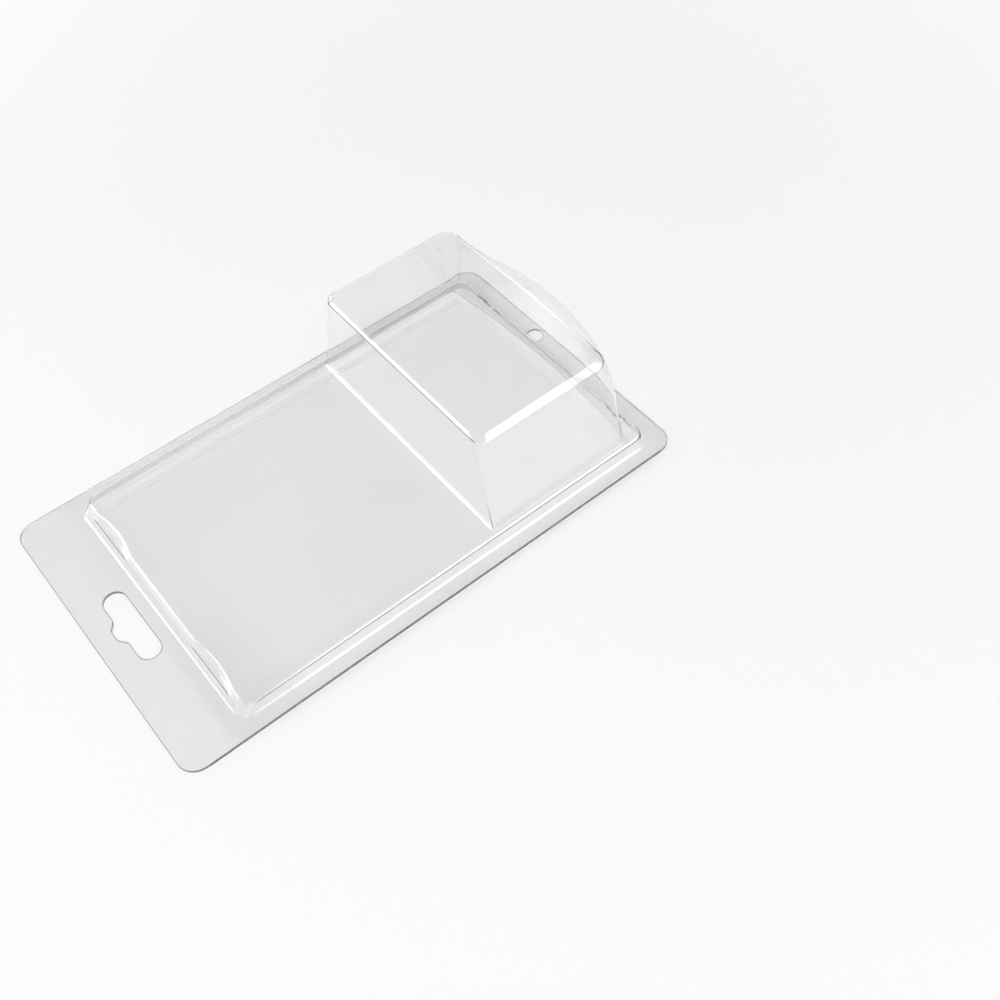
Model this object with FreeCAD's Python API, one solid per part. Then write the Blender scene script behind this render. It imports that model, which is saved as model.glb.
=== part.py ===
# Clear clamshell pack for a carded toy, closed and lying on its back.
# X runs from the hanging end to the domed end, Y across from the folded edge, Z up.
import FreeCAD, Part
import math
import os

V = FreeCAD.Vector

# Sheet and flange
sheet = 0.5
length = 195.8
width = 116.0
flange_radius = 6.5
header_margin = 21.6
end_margin = 7.7
side_margin = 6.0

# Fold along the near long edge
fold_radius = sheet
fold_clearance = 0.05
fold_setback = 1.0

# Hanging hole in the wide header
slot_setback = 13.2
slot_length = 30.0
slot_width = 7.8
slot_bump = 2.3
slot_bump_half = 2.2
slot_bump_foot = 5.2
slot_bump_round = 0.5

# Small round hole at the domed end
pin_hole_radius = 3.1
pin_hole_setback = 4.3
pin_hole_offset = 12.9

# Raised tray of the front shell: height, corner radius, and how far each wall leans in
tray_height = 4.6
tray_radius = 5.0
tray_lean_hang = 3.6
tray_lean_end = 1.0
tray_lean_side = 0.7

# Snap dents in the short walls of the tray
hang_dent_place = 32.0
hang_dent_length = 22.0
hang_dent_depth = 1.1
end_dent_place = 36.5
end_dent_length = 15.0
end_dent_depth = 1.0

# Dome on the tray: height above the flange, foot, lean of each wall up to the flat top
dome_height = 41.7
dome_length = 58.6
dome_ledge_end = 7.8
dome_ledge_side = 4.6
dome_lean_hang = 2.5
dome_lean_end = 5.4
dome_lean_side = 7.8
dome_bulge = 11.0
dome_radius_hang = 4.0
dome_radius_end = 5.0

# Shares of those values at each level of the dome, from its foot to its top
dome_levels = [
    {"rise": 0.000, "side": 0.00, "hang": 0.00, "end": 0.00, "bulge": 0.29, "round_hang": 0.3, "round_end": 0.8},
    {"rise": 0.361, "side": 0.23, "hang": 0.20, "end": 0.15, "bulge": 0.69, "round_hang": 0.5, "round_end": 0.9},
    {"rise": 0.698, "side": 0.45, "hang": 0.40, "end": 0.41, "bulge": 1.00, "round_hang": 0.8, "round_end": 1.0},
    {"rise": 0.836, "side": 0.54, "hang": 0.48, "end": 0.56, "bulge": 0.78, "round_hang": 1.0, "round_end": 1.0},
    {"rise": 0.949, "side": 0.64, "hang": 0.56, "end": 0.70, "bulge": 0.33, "round_hang": 1.0, "round_end": 1.0},
    {"rise": 0.984, "side": 0.78, "hang": 0.68, "end": 0.81, "bulge": 0.13, "round_hang": 1.0, "round_end": 1.0},
    {"rise": 1.000, "side": 1.00, "hang": 1.00, "end": 1.00, "bulge": 0.04, "round_hang": 1.0, "round_end": 0.9},
]

# Raised panel of the back shell that carries the card
panel_height = 2.0
panel_gap_hang = 3.1
panel_gap_end = 2.6
panel_gap_side = 2.4
panel_lean = 0.6

# Places that follow from the sizes above
back_face = sheet
front_face = 2 * sheet
tray_face = front_face + tray_height
tray_x0 = -length / 2 + header_margin
tray_x1 = length / 2 - end_margin
tray_half = width / 2 - side_margin
dome_x1 = tray_x1 - dome_ledge_end
dome_x0 = dome_x1 - dome_length
dome_half = tray_half - dome_ledge_side
dome_wall = dome_height - tray_height
fold_axis_y = -width / 2 + fold_radius
fold_axis_z = sheet
fold_length = length - 2 * (flange_radius + fold_setback)
slot_x = -length / 2 + slot_setback
pin_hole_x = length / 2 - pin_hole_setback
least_radius = 1.2 * sheet
overrun = 2 * sheet


def save(name, shape):
    shape.exportStep(os.path.join("parts", name + ".step"))


def outline(x0, x1, y0, y1, radii, bow, z):
    """Closed wire: corner radii given from the near left corner round, right side bowed out."""
    a, b, c, d = radii
    k = 1 - math.sqrt(0.5)
    corners = [
        (V(x0, y0 + a, z), V(x0 + a * k, y0 + a * k, z), V(x0 + a, y0, z)),
        (V(x1 - b, y0, z), V(x1 - b * k, y0 + b * k, z), V(x1, y0 + b, z)),
        (V(x1, y1 - c, z), V(x1 - c * k, y1 - c * k, z), V(x1 - c, y1, z)),
        (V(x0 + d, y1, z), V(x0 + d * k, y1 - d * k, z), V(x0, y1 - d, z)),
    ]
    edges = []
    for i, corner in enumerate(corners):
        edges.append(Part.Arc(*corner).toShape())
        start = corner[2]
        end = corners[(i + 1) % 4][0]
        if i == 1 and bow > 0:
            middle = V(x1 + bow, (start.y + end.y) / 2, z)
            edges.append(Part.Arc(start, middle, end).toShape())
        else:
            edges.append(Part.LineSegment(start, end).toShape())
    return Part.Wire(edges)


def tray_outline(lean, inset, z):
    """Outline of the tray wall: lean 0 at its foot, 1 at its top edge."""
    x0 = tray_x0 + lean * tray_lean_hang + inset
    x1 = tray_x1 - lean * tray_lean_end - inset
    half = tray_half - lean * tray_lean_side - inset
    r = max(tray_radius - lean * tray_lean_side - inset, least_radius)
    return outline(x0, x1, -half, half, (r, r, r, r), 0, z)


def panel_outline(lean, inset, z):
    """Outline of the back panel's wall, held clear of the tray wall all round."""
    x0 = tray_x0 + panel_gap_hang + lean * 2 * panel_lean + inset
    x1 = tray_x1 - panel_gap_end - lean * panel_lean - inset
    half = tray_half - panel_gap_side - lean * panel_lean - inset
    r = max(tray_radius - lean * panel_lean - inset, least_radius)
    return outline(x0, x1, -half, half, (r, r, r, r), 0, z)


def drafted_block(wall, inset, z_start, z_foot, z_top):
    """Block with leaning walls whose foot outline runs straight down to z_start."""
    base = Part.Face(wall(0, inset, z_start)).extrude(V(0, 0, z_foot - z_start))
    block = Part.makeLoft([wall(0, inset, z_foot), wall(1, inset, z_top)], True, True)
    return block.fuse(base)


def dome(inset, z_start):
    """Stacked outlines of the dome, drawn in all round by the inset and down to z_start."""
    wires = []
    for level in dome_levels:
        r_hang = max(level["round_hang"] * dome_radius_hang - inset, least_radius)
        r_end = max(level["round_end"] * dome_radius_end - inset, least_radius)
        x0 = dome_x0 + level["hang"] * dome_lean_hang + inset
        x1 = dome_x1 - level["end"] * dome_lean_end - inset
        half = dome_half - level["side"] * dome_lean_side - inset
        z = tray_face + level["rise"] * (dome_wall - inset)
        radii = (r_hang, r_end, r_end, r_hang)
        wires.append(outline(x0, x1, -half, half, radii, level["bulge"] * dome_bulge, z))
    block = Part.makeLoft(wires, True, True)
    return block.fuse(Part.Face(wires[0]).extrude(V(0, 0, z_start - tray_face)))


def flange(z):
    """Flat sheet with rounded corners; its near edge stops short of the fold."""
    y0 = fold_axis_y + fold_radius + fold_clearance
    r = flange_radius
    wire = outline(-length / 2, length / 2, y0, width / 2, (r, r, r, r), 0, z)
    return Part.Face(wire).extrude(V(0, 0, sheet))


def blend_curve(start, end, leave, arrive):
    curve = Part.BSplineCurve()
    curve.interpolate([start, (start + end) / 2, end], InitialTangent=leave, FinalTangent=arrive)
    return curve.toShape()


def hanging_hole():
    """Long slot with a rounded bump towards the header edge."""
    x0 = slot_x - slot_width / 2
    x1 = slot_x + slot_width / 2
    straight = slot_length / 2 - slot_width / 2
    tip = x0 - slot_bump
    low = -overrun
    p = [
        V(x1, -straight, low),
        V(x1, straight, low),
        V(x0, straight, low),
        V(x0, slot_bump_foot, low),
        V(tip + slot_bump_round, slot_bump_half, low),
        V(tip + slot_bump_round, -slot_bump_half, low),
        V(x0, -slot_bump_foot, low),
        V(x0, -straight, low),
    ]
    edges = [
        Part.LineSegment(p[0], p[1]).toShape(),
        Part.Arc(p[1], V(slot_x, slot_length / 2, low), p[2]).toShape(),
        Part.LineSegment(p[2], p[3]).toShape(),
        blend_curve(p[3], p[4], V(0, -1, 0), V(-1, -1, 0)),
        Part.Arc(p[4], V(tip, 0, low), p[5]).toShape(),
        blend_curve(p[5], p[6], V(1, -1, 0), V(0, -1, 0)),
        Part.LineSegment(p[6], p[7]).toShape(),
        Part.Arc(p[7], V(slot_x, -slot_length / 2, low), p[0]).toShape(),
    ]
    return Part.Face(Part.Wire(edges)).extrude(V(0, 0, front_face + 2 * overrun))


def pin_hole():
    start = V(pin_hole_x, pin_hole_offset, -overrun)
    return Part.makeCylinder(pin_hole_radius, front_face + 2 * overrun, start)


def dent_pair(foot_x, lean, side, place, chord, depth, extra):
    """Two long cylinders leaning with a short wall and pressing into it by the depth."""
    slope = V(lean, 0, tray_height).normalize()
    normal = V(slope.z * side, 0, -slope.x * side)
    radius = (chord ** 2 / 4 + depth ** 2) / (2 * depth)
    middle = V(foot_x + lean / 2, 0, front_face + tray_height / 2)
    pair = []
    for way in (-1, 1):
        centre = middle + normal * (radius - depth) + V(0, way * place, 0)
        start = centre - slope * (tray_height * 0.3)
        pair.append(Part.makeCylinder(radius + extra, 3 * tray_height, start, slope))
    return pair


def dents(extra):
    hang = dent_pair(tray_x0, tray_lean_hang, -1, hang_dent_place, hang_dent_length, hang_dent_depth, extra)
    end = dent_pair(tray_x1, -tray_lean_end, 1, end_dent_place, end_dent_length, end_dent_depth, extra)
    return hang + end


def front_shell():
    outer = drafted_block(tray_outline, 0, back_face, front_face, tray_face).cut(dents(0))
    inner = drafted_block(tray_outline, sheet, back_face - overrun, front_face, tray_face - sheet)
    hollow = dome(sheet, tray_face - 2 * sheet)
    body = flange(back_face).fuse([outer, dome(0, tray_face - sheet / 2)])
    return body.cut([inner.cut(dents(sheet)), hollow, hanging_hole(), pin_hole()]).removeSplitter()


def back_shell():
    panel_face = back_face + panel_height
    outer = drafted_block(panel_outline, 0, 0, back_face, panel_face)
    inner = drafted_block(panel_outline, sheet, -overrun, back_face, panel_face - sheet)
    return flange(0).fuse(outer).cut([inner, hanging_hole(), pin_hole()]).removeSplitter()


def living_hinge():
    """Folded edge of the sheet: a bead on the fold line with a flat web to the back flange."""
    start = V(-fold_length / 2, fold_axis_y, fold_axis_z)
    bead = Part.makeCylinder(fold_radius, fold_length, start, V(1, 0, 0))
    web_corner = V(-fold_length / 2, fold_axis_y, 0)
    web = Part.makeBox(fold_length, fold_radius + fold_clearance, sheet, web_corner)
    return bead.fuse(web).removeSplitter()


os.makedirs("parts", exist_ok=True)
save("front_shell", front_shell())
save("back_shell", back_shell())
save("living_hinge", living_hinge())
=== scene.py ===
# Clear clamshell pack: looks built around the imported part. Sizes are in millimetres until a mesh is made.
import math

import bpy
import numpy as np
from mathutils import Matrix, Vector
from mathutils.geometry import delaunay_2d_cdt


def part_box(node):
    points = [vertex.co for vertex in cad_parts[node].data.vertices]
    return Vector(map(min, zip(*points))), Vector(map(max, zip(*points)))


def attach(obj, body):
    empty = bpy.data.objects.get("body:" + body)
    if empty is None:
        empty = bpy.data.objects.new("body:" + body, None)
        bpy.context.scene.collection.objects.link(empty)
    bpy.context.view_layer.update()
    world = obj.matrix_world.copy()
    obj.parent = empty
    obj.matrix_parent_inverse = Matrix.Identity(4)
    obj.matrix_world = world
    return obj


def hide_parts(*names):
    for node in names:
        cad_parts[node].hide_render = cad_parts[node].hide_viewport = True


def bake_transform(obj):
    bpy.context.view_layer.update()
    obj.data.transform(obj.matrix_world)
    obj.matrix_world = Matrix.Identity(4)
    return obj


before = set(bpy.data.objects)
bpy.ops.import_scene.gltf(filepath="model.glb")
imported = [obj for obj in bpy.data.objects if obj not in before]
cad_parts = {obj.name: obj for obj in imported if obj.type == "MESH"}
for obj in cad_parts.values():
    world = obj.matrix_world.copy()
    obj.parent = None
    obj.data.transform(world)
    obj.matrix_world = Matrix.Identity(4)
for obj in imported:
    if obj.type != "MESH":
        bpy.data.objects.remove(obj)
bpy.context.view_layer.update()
mm = 0.001


def nodeBox(name):
    low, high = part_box(name)
    return np.array(low) / mm, np.array(high) / mm


frontLow, frontHigh = nodeBox("front_shell")
backHigh = nodeBox("back_shell")[1]
foldLow, foldHigh = nodeBox("living_hinge")
print("frame loaded", frontLow, frontHigh)

# What all three films share. A bend reaches along its facet by no more than the given share of it.
film = {
    "thickness": 0.4,
    "longPoints": 44,
    "shortPoints": 132,
    "cornerPoints": 14,
    "edgeRadius": 6.5,
    "edgePoints": 15,
    "edgeBand": 0.22,
    "foldRadius": 0.5,
    "foldGap": 0.05,
    "farBow": 1.35,
    "bendReach": 0.42,
    "facetRuns": 3,
    "facetBends": 5,
    "weldGap": 0.02,
    "sharpAngle": 40,
}
foldLine = (foldLow[1] + film["foldRadius"], film["foldRadius"])
flangeBox = {
    "x0": frontLow[0],
    "x1": frontHigh[0],
    "y0": foldLine[0] + film["foldGap"],
    "y1": frontHigh[1],
}


# A closed outline as whole arrays: four straight sides and four quarter circles, counter-clockwise seen
# from above. Its station names the end places in x, the near and far side's distance, the rounding at the
# hanging and at the domed end, the bow, the heights of the near, far, hanging and end side, and the share of
# the dents. The end side is pushed out by bow times one minus the square of y over its side's distance. On
# the far half that is raised to the far bow power, so it dies away sooner there. The short sides are pushed
# in by the dent depth times a parabola over each dent's length. Each side has its own height, which runs
# evenly into the next one's round the corner.
def outlineRing(station, dents=None):
    x0, x1, near, far, roundHang, roundEnd, bow, zNear, zFar, zHang, zEnd, dentShare = station
    longStep = np.linspace(0, 1, film["longPoints"], endpoint=False)
    shortStep = np.linspace(0, 1, film["shortPoints"], endpoint=False)
    turn = np.linspace(0, math.pi / 2, film["cornerPoints"], endpoint=False)
    mix = turn / (math.pi / 2)
    nearX = x0 + roundHang + longStep * (x1 - roundEnd - x0 - roundHang)
    endY = roundEnd - near + shortStep * (near + far - 2 * roundEnd)
    farX = x1 - roundEnd + longStep * (x0 + roundHang - x1 + roundEnd)
    hangY = far - roundHang - shortStep * (near + far - 2 * roundHang)
    x = np.concatenate([
        nearX, x1 - roundEnd + roundEnd * np.sin(turn),
        np.full_like(endY, x1), x1 - roundEnd + roundEnd * np.cos(turn),
        farX, x0 + roundHang - roundHang * np.sin(turn),
        np.full_like(hangY, x0), x0 + roundHang - roundHang * np.cos(turn),
    ])
    y = np.concatenate([
        np.full_like(nearX, -near), -near + roundEnd - roundEnd * np.cos(turn),
        endY, far - roundEnd + roundEnd * np.sin(turn),
        np.full_like(farX, far), far - roundHang + roundHang * np.cos(turn),
        hangY, -near + roundHang - roundHang * np.sin(turn),
    ])
    z = np.concatenate([
        np.full_like(nearX, zNear), zNear + (zEnd - zNear) * mix,
        np.full_like(endY, zEnd), zEnd + (zFar - zEnd) * mix,
        np.full_like(farX, zFar), zFar + (zHang - zFar) * mix,
        np.full_like(hangY, zHang), zHang + (zNear - zHang) * mix,
    ])
    first = len(nearX)
    last = first + len(endY) + 2 * len(turn)
    side = y[first:last]
    hump = 1 - (side / np.where(side < 0, near, far)) ** 2
    x[first:last] += bow * hump ** np.where(side < 0, 1.0, film["farBow"])
    if dents is not None and dentShare > 0:
        hangPart = slice(len(x) - len(hangY) - len(turn), len(x) - len(turn))
        endPart = slice(first + len(turn), first + len(turn) + len(endY))
        x[hangPart] += dentShare * dentDepth(y[hangPart], dents["hang"])
        x[endPart] -= dentShare * dentDepth(y[endPart], dents["end"])
    return np.stack([x, y, z], 1)


# Depth of the snap dents along a short wall: a parabola over each dent's length, nothing outside it.
def dentDepth(y, dent):
    across = (np.abs(y) - dent["place"]) / (dent["length"] / 2)
    return dent["depth"] * np.clip(1 - across ** 2, 0, None)


# The straight line from a to b, at a share of the way and as a run of even steps that leaves b out.
def between(a, b, share):
    return a + (b - a) * share


def straightRun(a, b, count):
    return [between(a, b, s) for s in np.linspace(0, 1, count, endpoint=False)]


# A rounded corner of the profile: the quadratic curve from a to b that bends towards the crease.
def bend(a, crease, b, count):
    steps = np.linspace(0, 1, count, endpoint=False)
    return [(1 - s) ** 2 * a + 2 * s * (1 - s) * crease + s ** 2 * b for s in steps]


# Points inside an outline: a line from the point along x crosses the outline an odd number of times.
def insideOutline(points, outline):
    x, y = points[:, 0:1], points[:, 1:2]
    ax, ay = outline[None, :, 0], outline[None, :, 1]
    bx, by = np.roll(ax, -1, 1), np.roll(ay, -1, 1)
    crosses = (ay > y) != (by > y)
    rise = np.where(by == ay, 1e-9, by - ay)
    return (crosses & (x < ax + (y - ay) * (bx - ax) / rise)).sum(1) % 2 == 1


# An outline moved sideways: each point goes along the right angle to the line between its neighbours.
def movedOutline(outline, distance):
    along = np.roll(outline, -1, 0) - np.roll(outline, 1, 0)
    length = np.maximum(np.hypot(along[:, 0], along[:, 1]), 1e-9)[:, None]
    return outline + distance * np.stack([-along[:, 1], along[:, 0]], 1) / length


# Flat sheet between an outer outline, the tray outline and the holes: a constrained triangulation of all
# of them, less the triangles whose middle lies in a hole. A narrow band along each cut edge is made first,
# as quads between the edge and the same outline moved into the sheet.
def flatSheet(outer, trayHole, cutHoles, z):
    band = film["edgeBand"]
    bands = [(outer, movedOutline(outer, band))] + [(hole, movedOutline(hole, -band)) for hole in cutHoles]
    loops = [bands[0][1], trayHole] + [inner for edge, inner in bands[1:]]
    points = np.concatenate(loops)
    edges = []
    start = 0
    for loop in loops:
        index = np.arange(len(loop)) + start
        edges += np.stack([index, np.roll(index, -1)], 1).tolist()
        start += len(loop)
    result = delaunay_2d_cdt([Vector(p) for p in points.tolist()], edges, [], 1, 1e-6)
    verts = np.array([tuple(v) for v in result[0]])
    faces = np.array([tuple(f) for f in result[2]])
    middle = verts[faces].mean(1)
    keep = insideOutline(middle, loops[0])
    for hole in loops[1:]:
        keep &= ~insideOutline(middle, hole)
    faces = turnedUp(verts, faces[keep])
    parts = [(np.column_stack([verts, np.full(len(verts), z)]), faces)]
    for edge, inner in bands:
        ring = np.concatenate([edge, inner])
        i = np.arange(len(edge))
        j = np.roll(i, -1)
        quads = turnedUp(ring, np.stack([i, j, j + len(edge), i + len(edge)], 1))
        parts.append((np.column_stack([ring, np.full(len(ring), z)]), quads))
    return parts


# Faces whose corners run clockwise seen from above are turned over.
def turnedUp(verts, faces):
    a, b, c = (verts[faces[:, i]] for i in range(3))
    down = (b[:, 0] - a[:, 0]) * (c[:, 1] - a[:, 1]) < (b[:, 1] - a[:, 1]) * (c[:, 0] - a[:, 0])
    faces[down] = faces[down][:, ::-1]
    return faces


# Rings joined into quads, each ring to the next one inwards, and the last ring to one middle point.
def ringSurface(rings):
    count = len(rings[0])
    verts = np.concatenate(rings + [rings[-1].mean(0)[None, :]])
    i = np.arange(count)
    j = np.roll(i, -1)
    quads = [np.stack([i + k * count, j + k * count, j + (k + 1) * count, i + (k + 1) * count], 1)
             for k in range(len(rings) - 1)]
    last = (len(rings) - 1) * count
    cap = np.stack([i + last, j + last, np.full(count, len(verts) - 1)], 1)
    return verts, np.concatenate(quads), cap


# Long slot: straight on the tray side, half circles at both ends, and on the edge side a bump that rises
# from its foot to its flat along a smooth step.
def slotOutline(slot):
    radius = slot["width"] / 2
    straight = slot["length"] / 2 - radius
    turn = np.linspace(0, math.pi, slot["turnPoints"])
    run = np.linspace(straight, -straight, slot["runPoints"])[1:-1]
    rise = np.clip((slot["bumpFoot"] - np.abs(run)) / (slot["bumpFoot"] - slot["bumpFlat"]), 0, 1)
    bump = slot["bump"] * rise ** 2 * (3 - 2 * rise)
    x = np.concatenate([radius * np.cos(turn), -radius - bump, -radius * np.cos(turn)])
    y = np.concatenate([straight + radius * np.sin(turn), run, -straight - radius * np.sin(turn)])
    return np.stack([slot["x"] + x, y], 1)


# Round hole: even steps round a circle.
def circleOutline(circle):
    turn = np.linspace(0, 2 * math.pi, circle["points"], endpoint=False)
    radius = circle["radius"]
    return np.stack([circle["x"] + radius * np.cos(turn), circle["y"] + radius * np.sin(turn)], 1)


# Outer edge of both flanges: a rounded rectangle whose near side stops at the fold.
def flangeOutline():
    radius = film["edgeRadius"]
    turn = np.linspace(0, math.pi / 2, film["edgePoints"])
    middles = [(flangeBox["x1"] - radius, flangeBox["y0"] + radius, -math.pi / 2),
               (flangeBox["x1"] - radius, flangeBox["y1"] - radius, 0),
               (flangeBox["x0"] + radius, flangeBox["y1"] - radius, math.pi / 2),
               (flangeBox["x0"] + radius, flangeBox["y0"] + radius, math.pi)]
    return np.concatenate([
        np.stack([x + radius * np.cos(turn + a), y + radius * np.sin(turn + a)], 1) for x, y, a in middles])


# One piece from parts of points and faces, welded and given its film thickness inwards and downwards. Parts
# from cutFrom on are cut edges and take the second material, as the rims do.
def addMesh(name, parts, thickness, materials, cutFrom=None):
    cutFrom = len(parts) if cutFrom is None else cutFrom
    verts, faces, slots, start = [], [], [], 0
    for number, (partVerts, *partFaces) in enumerate(parts):
        verts.append(partVerts)
        for block in partFaces:
            faces += (block + start).tolist()
            slots += [int(number >= cutFrom)] * len(block)
        start += len(partVerts)
    mesh = bpy.data.meshes.new(name)
    mesh.from_pydata((np.concatenate(verts) * mm).tolist(), [], faces)
    for material in materials:
        mesh.materials.append(material)
    mesh.polygons.foreach_set("material_index", slots)
    obj = bpy.data.objects.new(name, mesh)
    bpy.context.scene.collection.objects.link(obj)
    weld = obj.modifiers.new("weld", "WELD")
    weld.merge_threshold = film["weldGap"] * mm
    if thickness:
        wall = obj.modifiers.new("wall", "SOLIDIFY")
        wall.thickness = thickness * mm
        wall.offset = -1
        wall.use_even_offset = False
        wall.use_quality_normals = True
        wall.material_offset_rim = 1
    bpy.context.view_layer.update()
    finished = bpy.data.meshes.new_from_object(obj.evaluated_get(bpy.context.evaluated_depsgraph_get()))
    obj.modifiers.clear()
    obj.data = finished
    finished.name = name
    finished.shade_smooth()
    finished.set_sharp_from_angle(angle=math.radians(film["sharpAngle"]))
    print(name, "faces", len(finished.polygons))
    return obj


# Holes in the flange: the hanging slot in the header and the small round one at the domed end.
slot = {
    "x": flangeBox["x0"] + 13.2,
    "length": 30.0,
    "width": 7.8,
    "bump": 2.3,
    "bumpFoot": 5.7,
    "bumpFlat": 1.6,
    "turnPoints": 25,
    "runPoints": 61,
}
pinHole = {"x": flangeBox["x1"] - 4.3, "y": 12.9, "radius": 3.1, "points": 48}
holes = [slotOutline(slot), circleOutline(pinHole)]

# Back film: the panel's foot and edge give their places in x, half width and corner radius. Its slope is
# bent up to the first share of the way and again from the second. Inner rings are shares of the last one.
back = {
    "face": film["thickness"],
    "panelTop": backHigh[2] - 0.1,
    "panelFoot": (-73.2, 87.6, 49.6, 5.0),
    "panelEdge": (-67.6, 82.2, 44.2, 1.6),
    "softFoot": 2.2,
    "softTop": 0.3,
    "slope": (0.4, 0.94),
    "footPoints": 12,
    "slopePoints": 4,
    "topPoints": 5,
    "inner": (0.9, 0.7, 0.5, 0.3, 0.12),
}


# An input of a shader node is set to a number, or linked to another node's output.
def feed(tree, place, value):
    if isinstance(value, bpy.types.NodeSocket):
        tree.links.new(value, place)
    else:
        place.default_value = value


# One value of a shader tree, from numbers or other nodes' outputs.
def mathOf(tree, operation, *values):
    node = tree.nodes.new("ShaderNodeMath")
    node.operation = operation
    for place, value in zip(node.inputs, values):
        feed(tree, place, value)
    return node.outputs[0]


# A step of a shader value: the span's two values become start and end, smoothly or in a straight line.
def stepOf(tree, value, span, start, end, kind="SMOOTHSTEP"):
    node = tree.nodes.new("ShaderNodeMapRange")
    node.interpolation_type = kind
    for name, given in zip(("Value", "From Min", "From Max", "To Min", "To Max"), (value, *span, start, end)):
        feed(tree, node.inputs[name], given)
    return node.outputs["Result"]


# A mask that rises along one step and falls along another.
def betweenSteps(tree, value, rise, fall):
    return mathOf(tree, "MULTIPLY", stepOf(tree, value, rise, 0, 1), stepOf(tree, value, fall, 1, 0))


# One where a ray is any of the named kinds, nothing elsewhere.
def anyOf(tree, path, *names):
    mask = path.outputs[names[0]]
    for name in names[1:]:
        mask = mathOf(tree, "MAXIMUM", mask, path.outputs[name])
    return mask


# Spans of the film's masks. Places are in metres: heights for drawn, distances outside the back panel's edge
# for the panel, x and y of the shaded corner. The others are ranges of a texture.
filmSpans = {
    "drawn": (0.0015, 0.0065),
    "tone": (0.35, 0.65),
    "haze": (0.45, 0.75),
    "panelShadeRise": (-0.001, 0.0008),
    "panelShadeFall": (0.003, 0.005),
    "panelHazeRise": (-0.001, 0.0),
    "panelHazeFall": (0.0075, 0.009),
    "cornerRise": (-0.084, -0.077),
    "cornerFall": (-0.073, -0.046),
    "cornerAlong": (-0.046, 0.012),
}
filmTexture = {
    "waveDetail": 1.0,
    "waveDepth": 0.001,
    "hazeScale": 55,
    "hazeDetail": 6,
    "toneSpread": 0.25,
    "cornerLeast": 0.35,
}
filmInputs = {
    "Wave Size": "waveSize",
    "Wave Height": "waveHeight",
    "Smooth": "smooth",
    "Hazy": "hazy",
    "Corner Shade": "cornerShade",
    "Panel Shade": "panelShade",
    "Panel Haze": "panelHaze",
}
filmColours = {"Flat Tint": "tint", "Raised Shade Tint": "raisedShadeTint"}


# Cloudy texture of the film's waves and haze.
def textureOf(tree, place, scale, detail):
    node = tree.nodes.new("ShaderNodeTexNoise")
    feed(tree, node.inputs["Vector"], place)
    feed(tree, node.inputs["Scale"], scale)
    feed(tree, node.inputs["Detail"], detail)
    return node.outputs["Fac"]


# How far a place lies outside the back panel's edge: the greater of its distances in x and in y.
def outsidePanel(tree, x, y):
    x0, x1, half = (value * mm for value in back["panelEdge"][:3])
    fromMiddle = mathOf(tree, "ABSOLUTE", mathOf(tree, "SUBTRACT", x, (x0 + x1) / 2))
    return mathOf(tree, "MAXIMUM", mathOf(tree, "SUBTRACT", fromMiddle, (x1 - x0) / 2),
                  mathOf(tree, "SUBTRACT", mathOf(tree, "ABSOLUTE", y), half))
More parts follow.
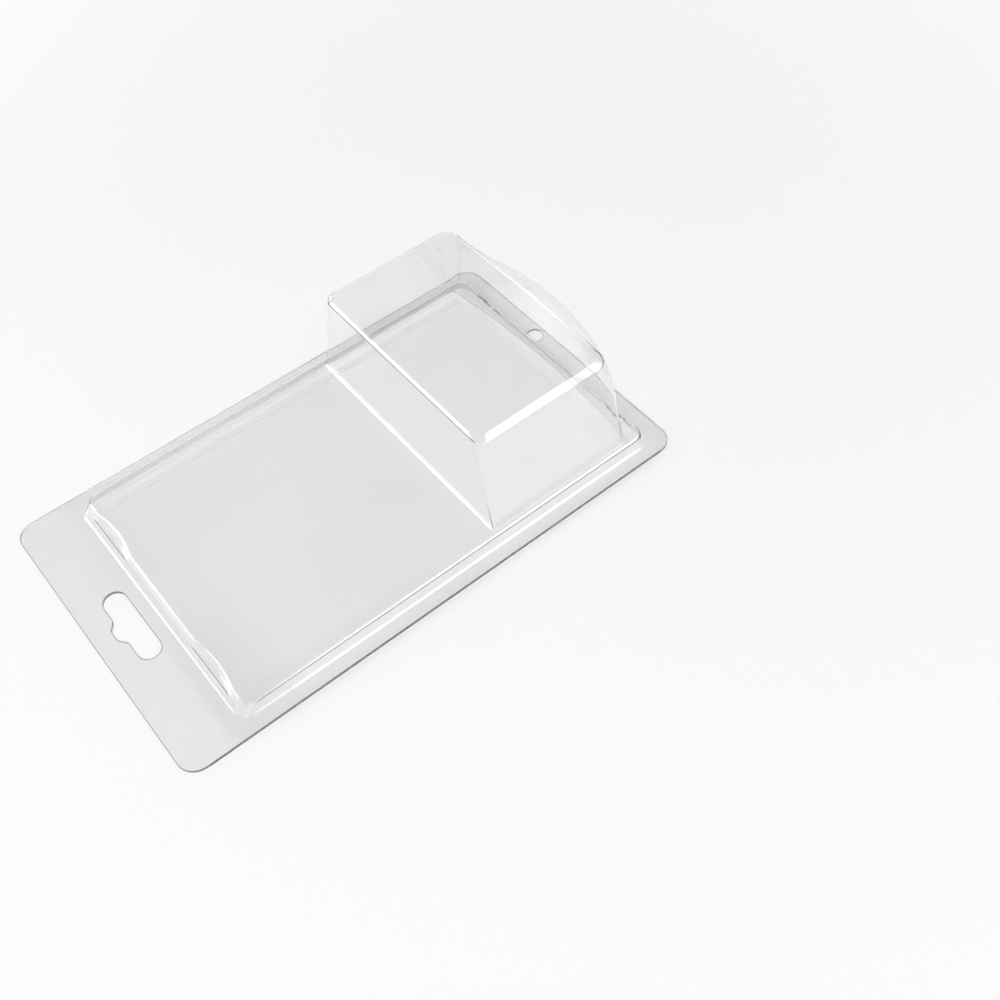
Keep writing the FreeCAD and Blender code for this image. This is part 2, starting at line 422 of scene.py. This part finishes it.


# Film surface effect: slow waves from forming as a normal, fine haze as a roughness, and a colour that
# turns from the flat tint to a darker tint where the film is drawn up, painted shade for the shade under the
# raised film. The colour is darkened further by a painted corner shade, strongest along the tray's hanging
# side near the fold, and by painted shade in a band round the back panel's edge, where a wider band is hazy
# too.
def filmGroup():
    group = bpy.data.node_groups.new("filmSurface", "ShaderNodeTree")
    for name in filmInputs:
        group.interface.new_socket(name, in_out="INPUT", socket_type="NodeSocketFloat")
    for name in filmColours:
        group.interface.new_socket(name, in_out="INPUT", socket_type="NodeSocketColor")
    for name, kind in (("Color", "Color"), ("Roughness", "Float"), ("Normal", "Vector")):
        group.interface.new_socket(name, in_out="OUTPUT", socket_type="NodeSocket" + kind)
    link = group.links.new
    given = group.nodes.new("NodeGroupInput").outputs
    result = group.nodes.new("NodeGroupOutput").inputs
    place = group.nodes.new("ShaderNodeTexCoord").outputs["Object"]
    part = group.nodes.new("ShaderNodeSeparateXYZ")
    link(place, part.inputs["Vector"])
    x, y, z = part.outputs
    outside = outsidePanel(group, x, y)

    wave = textureOf(group, place, given["Wave Size"], filmTexture["waveDetail"])
    bump = group.nodes.new("ShaderNodeBump")
    bump.inputs["Distance"].default_value = filmTexture["waveDepth"]
    link(wave, bump.inputs["Height"])
    link(given["Wave Height"], bump.inputs["Strength"])
    link(bump.outputs["Normal"], result["Normal"])

    haze = textureOf(group, place, filmTexture["hazeScale"], filmTexture["hazeDetail"])
    spread = stepOf(group, haze, filmSpans["haze"], given["Smooth"], given["Hazy"], "LINEAR")
    wide = betweenSteps(group, outside, filmSpans["panelHazeRise"], filmSpans["panelHazeFall"])
    panelHaze = mathOf(group, "MULTIPLY", wide, given["Panel Haze"])
    link(mathOf(group, "ADD", spread, panelHaze), result["Roughness"])

    # painted shade: with height the colour turns to the darker tint, for the shade under the raised film
    drawn = stepOf(group, z, filmSpans["drawn"], 0, 1)
    toneSpread = filmTexture["toneSpread"]
    uneven = stepOf(group, wave, filmSpans["tone"], -toneSpread, toneSpread)
    tone = group.nodes.new("ShaderNodeMix")
    tone.data_type = "RGBA"
    link(mathOf(group, "ADD", drawn, uneven), tone.inputs["Factor"])
    link(given["Flat Tint"], tone.inputs["A"])
    link(given["Raised Shade Tint"], tone.inputs["B"])
    # painted shade in the corner by the hanging side, darkest near the fold
    beside = betweenSteps(group, x, filmSpans["cornerRise"], filmSpans["cornerFall"])
    along = stepOf(group, y, filmSpans["cornerAlong"], 1, filmTexture["cornerLeast"])
    cornerLoss = mathOf(group, "MULTIPLY", mathOf(group, "MULTIPLY", beside, along), given["Corner Shade"])
    # painted shade in a band round the back panel's edge
    band = betweenSteps(group, outside, filmSpans["panelShadeRise"], filmSpans["panelShadeFall"])
    lost = mathOf(group, "ADD", cornerLoss, mathOf(group, "MULTIPLY", band, given["Panel Shade"]))
    shaded = group.nodes.new("ShaderNodeVectorMath")
    shaded.operation = "SCALE"
    link(tone.outputs["Result"], shaded.inputs[0])
    link(mathOf(group, "SUBTRACT", 1.0, lost), shaded.inputs["Scale"])
    link(shaded.outputs["Vector"], result["Color"])
    return group


filmSurface = filmGroup()


def filmMaterial(name, look):
    material = bpy.data.materials.new(name)
    material.use_nodes = True
    tree = material.node_tree
    shader = tree.nodes["Principled BSDF"]
    shader.inputs["Transmission Weight"].default_value = 1.0
    shader.inputs["IOR"].default_value = look["ior"]
    surface = tree.nodes.new("ShaderNodeGroup")
    surface.node_tree = filmSurface
    for socket, key in {**filmInputs, **filmColours}.items():
        surface.inputs[socket].default_value = look.get(key, 0)
    for name, target in (("Color", "Base Color"), ("Roughness", "Roughness"), ("Normal", "Normal")):
        tree.links.new(surface.outputs[name], shader.inputs[target])
    # lamps shine through the film: shadow rays and the light that surfaces pass on see it almost fully open
    path = tree.nodes.new("ShaderNodeLightPath")
    soft = anyOf(tree, path, "Is Shadow Ray", "Is Diffuse Ray")
    tree.links.new(stepOf(tree, soft, (0, 1), 1.0, look["shadow"], "LINEAR"), shader.inputs["Alpha"])
    return material


# In each look the second colour is the darker tint of painted shade, used where the film is raised.
frontLook = {
    "tint": (0.983, 0.983, 0.985, 1),
    "raisedShadeTint": (0.958, 0.96, 0.963, 1),
    "ior": 1.57,
    "waveSize": 14,
    "waveHeight": 0.04,
    "smooth": 0.0,
    "hazy": 0.03,
    "shadow": 0.03,
    # strength of the painted corner shade
    "cornerShade": 0.045,
}
backLook = {
    **frontLook,
    "raisedShadeTint": (0.962, 0.964, 0.967, 1),
    "waveSize": 10,
    # strength of the painted shade round the panel's edge
    "panelShade": 0.06,
    "panelHaze": 0.2,
}
# The cut-edge look's dark tints are painted shade: the dark outline that the film shows along its cut edges,
# on the rims and the narrow bands beside them.
cutLook = {
    "tint": (0.64, 0.65, 0.67, 1),
    "raisedShadeTint": (0.5, 0.51, 0.53, 1),
    "ior": 1.57,
    "waveSize": 90,
    "waveHeight": 0.2,
    "smooth": 0.1,
    "hazy": 0.3,
    "shadow": 0.1,
}
# The fold's dark tints are painted shade: the dark line that the bend shows along the near edge.
foldLook = {
    "tint": (0.53, 0.54, 0.56, 1),
    "raisedShadeTint": (0.4, 0.41, 0.43, 1),
    "ior": 1.57,
    "waveSize": 60,
    "waveHeight": 0.1,
    "smooth": 0.05,
    "hazy": 0.2,
    "shadow": 0.1,
}

# Front film: the tray's foot and edge give their places in x, half width and corner radius, the dome's foot
# its places in x, near and far distance, rounding at both ends and bow. Each edge is a facet of width and
# height, softened into the wall and into the flat. Inner rings are shares of the last one.
front = {
    "face": 1.0,
    "trayTop": 5.6,
    "ledge": 0.5,
    "trayFoot": (-76.3, 90.2, 52.0, 5.0),
    "trayEdge": (-72.7, 89.2, 51.3, 4.3),
    "domeFoot": (23.8, 82.4, 49.2, 48.6, 0.6, 3.0, 3.2),
    "domeTop": frontHigh[2],
    "topHalf": 42.37,
    "leanHang": 0.0387,
    "leanEnd": 3.8,
    "leanEndPower": 1.3,
    "bulge": 11.0,
    "bulgeLevel": 0.70,
    "bulgePower": 0.9,
    "cornerHang": 4.0,
    "cornerEnd": 5.0,
    "cornerPower": 0.8,
    "wallRings": 28,
    "ledgeRings": 8,
    "nearEdgeShare": 0.06,
    "inner": (0.985, 0.9, 0.75, 0.55, 0.35, 0.15),
    "topEdge": {"near": (2.7, 1.75, 0.45, 0.45), "far": (0.6, 0.5, 0.3, 0.3),
                "hang": (1.1, 1.0, 0.35, 0.35), "end": (0.5, 0.4, 0.5, 0.25)},
    "footEdge": {"near": (0.25, 0.25, 0.12, 0.12), "far": (0.25, 0.25, 0.12, 0.12),
                 "hang": (0.9, 0.75, 0.4, 0.4), "end": (0.4, 0.4, 0.2, 0.2)},
    "trayTopEdge": {"near": (0.9, 0.54, 0.2, 0.3), "far": (0.5, 0.45, 0.2, 0.3),
                    "hang": (0.55, 0.35, 0.25, 0.6), "end": (0.5, 0.45, 0.2, 0.3)},
    "trayFootEdge": {"near": (0.9, 0.54, 0.2, 0.3), "far": (0.25, 0.25, 0.12, 0.12),
                     "hang": (0.55, 0.35, 0.25, 0.4), "end": (0.25, 0.25, 0.12, 0.12)},
    "dents": {"hang": {"place": 32.0, "length": 22.0, "depth": 1.5},
              "end": {"place": 36.5, "length": 15.0, "depth": 0.45}},
    "leastRadius": 0.4,
}


# A flat rounded rectangle at height z, grown outwards on all sides.
def trayStation(spec, grow, z):
    x0, x1, half, radius = spec
    radius = max(radius + grow, front["leastRadius"])
    return np.array([x0 - grow, x1 + grow, half + grow, half + grow, radius, radius, 0, z, z, z, z, 0])


# Points of a softened facet across a corner, as distances in from the wall and down from the flat: a small
# bend out of the wall, the straight facet, and a small bend into the flat.
def facetPoints(edge):
    count = film["facetBends"]
    width, height, softWall, softFlat = edge
    wall, flat = np.array([0.0, height]), np.array([width, 0.0])
    slope = (flat - wall) / np.hypot(width, height)
    reach = np.hypot(width, height) * film["bendReach"]
    first, second = min(softWall, reach), min(softFlat, reach)
    points = bend(wall + [0, softWall], wall, wall + first * slope, count)
    points += straightRun(wall + first * slope, flat - second * slope, film["facetRuns"])
    points += bend(flat - second * slope, flat, flat + [softFlat, 0], count)
    points.append(flat + [softFlat, 0])
    return np.array(points)


# The dome's walls, each at its own height: near, far and hanging wall lean in evenly, the end wall faster
# near the top. The bulge rises from its foot value along a smooth step up to its level, and falls along a
# cosine to nothing at the top. Insets move each wall inwards.
def domeStation(heights, insets=(0, 0, 0, 0)):
    zNear, zFar, zHang, zEnd = heights
    x0, x1, near, far, roundHang, roundEnd, footBow = front["domeFoot"]
    foot, top = front["trayTop"], front["domeTop"]
    share = (zEnd - foot) / (top - foot)
    nearShare = (zNear - foot) / (top - foot)
    level = front["bulgeLevel"]
    if share < level:
        s = share / level
        bow = footBow + (front["bulge"] - footBow) * s * s * (3 - 2 * s)
    else:
        fall = min((share - level) / (1 - level), 1)
        bow = front["bulge"] * math.cos(math.pi / 2 * fall) ** front["bulgePower"]
    return np.array([
        x0 + front["leanHang"] * (zHang - foot) + insets[2],
        x1 - front["leanEnd"] * share ** front["leanEndPower"] - insets[3],
        between(near, front["topHalf"], nearShare) - insets[0],
        between(far, front["topHalf"], (zFar - foot) / (top - foot)) - insets[1],
        between(roundHang, front["cornerHang"], nearShare ** front["cornerPower"]),
        between(roundEnd, front["cornerEnd"], nearShare),
        bow, zNear, zFar, zHang, zEnd, 0,
    ])


# The tray wall at its own height on each side, from its foot outline to its edge outline.
def trayWall(heights, insets=(0, 0, 0, 0), dentShare=0):
    foot, edge = front["trayFoot"], front["trayEdge"]
    low, high = front["face"], front["trayTop"]
    nearShare, farShare, hangShare, endShare = [(z - low) / (high - low) for z in heights]
    radius = between(foot[3], edge[3], nearShare) - insets[1]
    return np.array([
        between(foot[0], edge[0], hangShare) + insets[2],
        between(foot[1], edge[1], endShare) - insets[3],
        between(foot[2], edge[2], nearShare) - insets[0],
        between(foot[2], edge[2], farShare) - insets[1],
        radius, radius, 0, *heights, dentShare,
    ])


# Stations across a facet, up from a flat level into a wall, or up the wall into the flat above it.
def facetStations(wallAt, edge, level, upwards, dentShare=0):
    sides = [facetPoints(edge[name]) for name in ("near", "far", "hang", "end")]
    sign = 1 if upwards else -1
    stations = []
    for k in range(len(sides[0])):
        heights = [level + sign * points[k][1] for points in sides]
        station = wallAt(heights, [-sign * points[k][0] for points in sides])
        station[11] = dentShare
        stations.append(station)
    return stations[::-1] if upwards else stations


# Rings across a flat top: the last ring drawn in towards its middle by each share.
def innerRings(rings, shares):
    last = rings[-1]
    middle = last.mean(0)
    return rings + [middle + (last - middle) * share for share in shares]


# All rings of the front film: tray foot, tray wall down to the dents' ledge, tray edge, the flat up to the
# dome, the dome's foot, walls and edge, and its flat top.
def frontRings():
    face, top = front["face"], front["trayTop"]
    trayFoot = facetStations(trayWall, front["trayFootEdge"], face, True)
    trayEdge = facetStations(trayWall, front["trayTopEdge"], top, False, 1)
    ledgeZ = between(face, top, front["ledge"])
    ledge = trayWall([ledgeZ] * 4)
    dented = trayWall([ledgeZ] * 4, dentShare=1)
    stations = trayFoot + straightRun(ledge, dented, 2) + [dented] + trayEdge
    plain = trayEdge[-1].copy()
    plain[11] = 0
    domeFoot = facetStations(domeStation, front["footEdge"], top, True)
    nearEdge = between(plain, domeFoot[0], front["nearEdgeShare"])
    stations += straightRun(trayEdge[-1], nearEdge, 3)[1:]
    stations += straightRun(nearEdge, domeFoot[0], front["ledgeRings"])
    domeEdge = facetStations(domeStation, front["topEdge"], front["domeTop"], False)
    wall = np.linspace(domeFoot[-1][7:11], domeEdge[0][7:11], front["wallRings"])[1:-1]
    stations += domeFoot + [domeStation(heights) for heights in wall] + domeEdge
    return innerRings([outlineRing(s, front["dents"]) for s in stations], front["inner"])


rings = frontRings()
frontMaterials = [filmMaterial("clearFrontFilm", frontLook), filmMaterial("frontCutEdge", cutLook)]
frontParts = [ringSurface(rings)] + flatSheet(flangeOutline(), rings[0][:, :2], holes, front["face"])
frontShell = addMesh("frontFilm", frontParts, film["thickness"], frontMaterials, 2)
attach(frontShell, "front")
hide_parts("front_shell")


# The raised panel's profile: a wide bend up out of the flange, a straight slope, a tight bend into its top.
def backRings():
    face, top = back["face"], back["panelTop"]
    outside = trayStation(back["panelFoot"], back["softFoot"], face)
    foot = trayStation(back["panelFoot"], 0, face)
    edge = trayStation(back["panelEdge"], 0, top)
    onTop = trayStation(back["panelEdge"], -back["softTop"], top)
    low, high = [between(foot, edge, share) for share in back["slope"]]
    stations = bend(outside, foot, low, back["footPoints"])
    stations += straightRun(low, high, back["slopePoints"])
    stations += bend(high, edge, onTop, back["topPoints"])
    stations.append(onTop)
    return innerRings([outlineRing(s) for s in stations], back["inner"])


rings = backRings()
backMaterials = [filmMaterial("clearBackFilm", backLook), filmMaterial("backCutEdge", cutLook)]
backParts = [ringSurface(rings)] + flatSheet(flangeOutline(), rings[0][:, :2], holes, back["face"])
backShell = addMesh("backFilm", backParts, film["thickness"], backMaterials, 2)
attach(backShell, "back")
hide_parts("back_shell")

fold = {"thickness": 0.2, "out": 0.36, "steps": 24, "across": 120}


# The fold: a half round strip along the near edge. Its outline is half an ellipse out and a smaller one
# back, carried from one end of the straight edge to the other.
def foldSurface():
    y, z = foldLine
    outer = film["foldRadius"]
    inner = outer - fold["thickness"]
    turn = np.linspace(-math.pi / 2, math.pi / 2, fold["steps"])
    innerOut = fold["out"] - fold["thickness"]
    loopY = y - np.concatenate([fold["out"] * np.cos(turn), innerOut * np.cos(turn[::-1])])
    loopZ = z + np.concatenate([outer * np.sin(turn), inner * np.sin(turn[::-1])])
    along = np.linspace(foldLow[0], foldHigh[0], fold["across"])
    count = len(loopY)
    verts = np.stack([np.repeat(along, count), np.tile(loopY, len(along)), np.tile(loopZ, len(along))], 1)
    i = np.arange(count)
    j = np.roll(i, -1)
    rows = (np.arange(len(along) - 1) * count)[:, None]
    quads = np.stack([i + rows, i + rows + count, j + rows + count, j + rows], 2).reshape(-1, 4)
    half = np.arange(fold["steps"] - 1)
    ends = np.stack([half, half + 1, count - 2 - half, count - 1 - half], 1)
    return verts, quads, ends, (ends + (len(along) - 1) * count)[:, ::-1]


foldStrip = addMesh("foldStrip", [foldSurface()], 0, [filmMaterial("clearFoldFilm", foldLook)])
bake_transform(foldStrip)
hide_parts("living_hinge")
print("pack built")

room = {
    "floorColour": (0.95, 0.95, 0.945, 1),
    "floorRoughness": 0.9,
    "floorGloss": 0.1,
    "glowColour": (1, 1, 0.995, 1),
    "floorGlow": 0.15,
    "farGlow": 0.9,
    "farGlowSpan": (0.16, 1.5),
    "floorSize": 6.0,
    "floorLevel": -0.0002,
    "horizon": 0.62,
    "zenith": 0.255,
    "skySpan": (0, 0.7),
    "lampFall": (0.5, 0.3),
    "lampStrength": 1.5,
    "nearPower": 3.8,
    "nearSize": (1.5, 0.34),
    "nearPlace": (0.31, -0.54, 0.858),
    "hangPower": 3.8,
    "hangSize": (0.68, 0.6),
    "hangPlace": (-0.72, 0.583, 0.375),
    "farPower": 3.4,
    "farSize": (2.6, 0.6),
    "farPlace": (0.44, 0.94, 0.36),
    "fillPower": 2.3,
    "fillSize": (0.35, 0.35),
    "fillPlace": (-0.63, -0.5, 0.78),
}


# A matt floor that glows a little where it is seen directly, in a reflection or through the film, and so
# keeps its shadows. Far from the pack it turns white for the camera.
def floorMaterial():
    material = bpy.data.materials.new("paleFloor")
    material.use_nodes = True
    tree = material.node_tree
    shader = tree.nodes["Principled BSDF"]
    shader.inputs["Base Color"].default_value = room["floorColour"]
    shader.inputs["Roughness"].default_value = room["floorRoughness"]
    shader.inputs["Specular IOR Level"].default_value = room["floorGloss"]
    shader.inputs["Emission Color"].default_value = room["glowColour"]
    path = tree.nodes.new("ShaderNodeLightPath")
    seen = anyOf(tree, path, "Is Camera Ray", "Is Glossy Ray", "Is Transmission Ray")
    reach = tree.nodes.new("ShaderNodeVectorMath")
    reach.operation = "LENGTH"
    tree.links.new(tree.nodes.new("ShaderNodeTexCoord").outputs["Object"], reach.inputs[0])
    away = stepOf(tree, reach.outputs["Value"], room["farGlowSpan"], 0, room["farGlow"])
    away = mathOf(tree, "MULTIPLY", away, path.outputs["Is Camera Ray"])
    glow = mathOf(tree, "ADD", mathOf(tree, "MULTIPLY", seen, room["floorGlow"]), away)
    tree.links.new(glow, shader.inputs["Emission Strength"])
    return material


def addFloor():
    half = room["floorSize"] / 2
    mesh = bpy.data.meshes.new("floor")
    corners = [(x * half, y * half, room["floorLevel"]) for x, y in ((-1, -1), (1, -1), (1, 1), (-1, 1))]
    mesh.from_pydata(corners, [], [(0, 1, 2, 3)])
    mesh.materials.append(floorMaterial())
    obj = bpy.data.objects.new("floor", mesh)
    bpy.context.scene.collection.objects.link(obj)


# A soft box: its light falls along smooth steps to nothing at its four edges.
def addLamp(name, place, size, power):
    lamp = bpy.data.lights.new(name, "AREA")
    lamp.energy = power
    lamp.shape = "RECTANGLE"
    lamp.size, lamp.size_y = size
    lamp.use_nodes = True
    tree = lamp.node_tree
    part = tree.nodes.new("ShaderNodeSeparateXYZ")
    tree.links.new(tree.nodes.new("ShaderNodeNewGeometry").outputs["Parametric"], part.inputs["Vector"])
    strength = room["lampStrength"]
    for axis in ("X", "Y"):
        fromMiddle = mathOf(tree, "ABSOLUTE", mathOf(tree, "SUBTRACT", part.outputs[axis], 0.5))
        strength = mathOf(tree, "MULTIPLY", stepOf(tree, fromMiddle, room["lampFall"], 0, 1), strength)
    tree.links.new(strength, tree.nodes["Emission"].inputs["Strength"])
    obj = bpy.data.objects.new(name, lamp)
    obj.location = place
    obj.rotation_euler = (-Vector(place)).to_track_quat("-Z", "Y").to_euler()
    bpy.context.scene.collection.objects.link(obj)


# Sky light that runs from the horizon's strength to the zenith's, white where the camera sees it, and lamps.
def lightRoom():
    world = bpy.data.worlds.new("room")
    world.use_nodes = True
    tree = world.node_tree
    place = tree.nodes.new("ShaderNodeTexCoord")
    part = tree.nodes.new("ShaderNodeSeparateXYZ")
    tree.links.new(place.outputs["Generated"], part.inputs["Vector"])
    sky = stepOf(tree, part.outputs["Z"], room["skySpan"], room["horizon"], room["zenith"])
    seen = tree.nodes.new("ShaderNodeMix")
    seen.inputs["B"].default_value = 1.0
    tree.links.new(tree.nodes.new("ShaderNodeLightPath").outputs["Is Camera Ray"], seen.inputs["Factor"])
    tree.links.new(sky, seen.inputs["A"])
    tree.links.new(seen.outputs["Result"], tree.nodes["Background"].inputs["Strength"])
    tree.nodes["Background"].inputs["Color"].default_value = (1, 1, 1, 1)
    bpy.context.scene.world = world
    for name in ("near", "hang", "far", "fill"):
        addLamp(name + "Lamp", room[name + "Place"], room[name + "Size"], room[name + "Power"])


# Camera found from the photo's straight edges: its place, the way right and ahead, and its focal length
# as a share of the sensor's width.
view = {
    "place": (-0.1114952, -0.2373569, 0.3349631),
    "right": (0.7756245, -0.6301984, -0.0354477),
    "ahead": (0.3530051, 0.4796508, -0.8033197),
    "focalShare": 1.2328235,
}


def addCamera():
    camera = bpy.data.cameras.new("camera")
    camera.lens = camera.sensor_width * view["focalShare"]
    obj = bpy.data.objects.new("camera", camera)
    right = Vector(view["right"]).normalized()
    ahead = Vector(view["ahead"]).normalized()
    up = right.cross(ahead)
    turn = Matrix((right, up, -ahead)).transposed()
    obj.matrix_world = Matrix.Translation(view["place"]) @ turn.to_4x4()
    bpy.context.scene.collection.objects.link(obj)
    bpy.context.scene.camera = obj


addFloor()
lightRoom()
addCamera()
bpy.context.scene.view_settings.view_transform = "Standard"
print("room and camera set")
